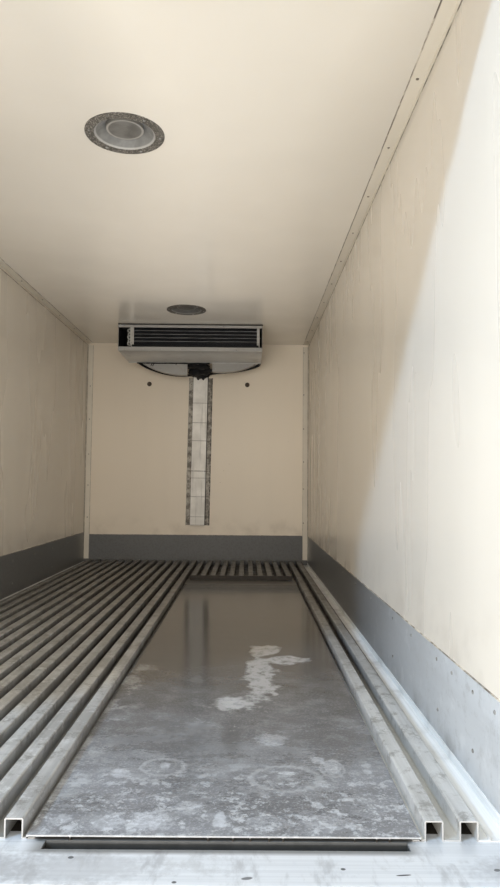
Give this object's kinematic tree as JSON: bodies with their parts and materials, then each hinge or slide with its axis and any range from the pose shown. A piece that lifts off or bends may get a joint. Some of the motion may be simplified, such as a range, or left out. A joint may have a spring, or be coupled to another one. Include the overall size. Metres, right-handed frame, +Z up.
{
  "type": "refrigerated truck cargo box",
  "caption": "Insulated cargo box for a light truck: sandwich panels, ribbed aluminium floor, ceiling evaporator with line duct, two hinged rear doors swung open.",
  "frame": {"origin": "middle of the bolt patterns that hold the box to a chassis, on the underside of its two bearers", "axes": "+X to the right side, +Y forward to the front wall, +Z up"},
  "size_m": [2.4928, 4.864, 2.339],
  "materials": {
    "insulated_panel": "glossy glass-fibre skin, cream",
    "floor_board": "grey resin-coated board",
    "chassis_paint": "black chassis paint",
    "edge_aluminium": "natural extrusion",
    "corner_casting": "cast, satin",
    "frame_steel": "worn stainless sheet",
    "lamp_lens": "red lens",
    "floor_aluminium": "dull, scuffed and chalky",
    "plate_aluminium": "dirty, half glossy",
    "kick_sheet": "blue-grey coated sheet",
    "trim_sheet": "cream coated strip",
    "lamp_metal": "grey dish on a dark flange",
    "case_sheet": "light grey sheet",
    "coil_metal": "dark fins",
    "louvre_sheet": "dark grey blades",
    "duct_sheet": "scratched, half painted",
    "hose_rubber": "black",
    "seal_rubber": "black seal",
    "gear_steel": "zinc plated"
  },
  "bodies": {
    "box": {"left_wall": "insulated_panel", "right_wall": "insulated_panel", "front_wall": "insulated_panel", "roof_panel": "insulated_panel", "floor_panel": "floor_board", "bearers": "chassis_paint", "cross_members": "chassis_paint", "roof_side_rails": "edge_aluminium", "roof_front_rail": "edge_aluminium", "front_corner_rails": "edge_aluminium", "bottom_side_rails": "edge_aluminium", "floor_edge_angles": "edge_aluminium", "roof_corner_caps": "corner_casting", "rear_sill": "frame_steel", "right_post": "frame_steel", "left_post": "frame_steel", "rear_header": "frame_steel", "lock_keepers": "frame_steel", "marker_lamps": "lamp_lens", "left_floor_ribs": "floor_aluminium", "middle_floor_ribs": "floor_aluminium", "right_floor_ribs": "floor_aluminium", "floor_plate": "plate_aluminium", "front_kick_plate": "kick_sheet", "left_kick_plate": "kick_sheet", "right_kick_plate": "kick_sheet", "ceiling_trims": "trim_sheet", "corner_trims": "trim_sheet", "rear_ceiling_lamp": "lamp_metal", "front_ceiling_lamp": "lamp_metal", "evaporator_case": "case_sheet", "valve_box": "case_sheet", "evaporator_coil": "coil_metal", "evaporator_louvres": "louvre_sheet", "line_duct": "duct_sheet", "refrigerant_lines": "hose_rubber", "drain_hoses": "hose_rubber", "drain_spouts": "hose_rubber", "door_holdbacks": "hose_rubber"},
    "right_door": {"right_door_panel": "insulated_panel", "right_door_frame": "edge_aluminium", "right_door_gasket": "seal_rubber", "right_hinges": "gear_steel", "right_lock_gear": "gear_steel"},
    "left_door": {"left_door_panel": "insulated_panel", "left_door_frame": "edge_aluminium", "left_door_gasket": "seal_rubber", "left_hinges": "gear_steel", "left_lock_gear": "gear_steel"}
  },
  "joints": [
    {"name": "right_door_hinge", "type": "hinge", "parent": "box", "child": "right_door", "pos_m": [1.088, -2.4345, 1.263], "axis": [0, 0, -1], "range_deg": [0, 267]},
    {"name": "left_door_hinge", "type": "hinge", "parent": "box", "child": "left_door", "pos_m": [-1.088, -2.4345, 1.263], "axis": [0, 0, 1], "range_deg": [0, 267]}
  ]
}
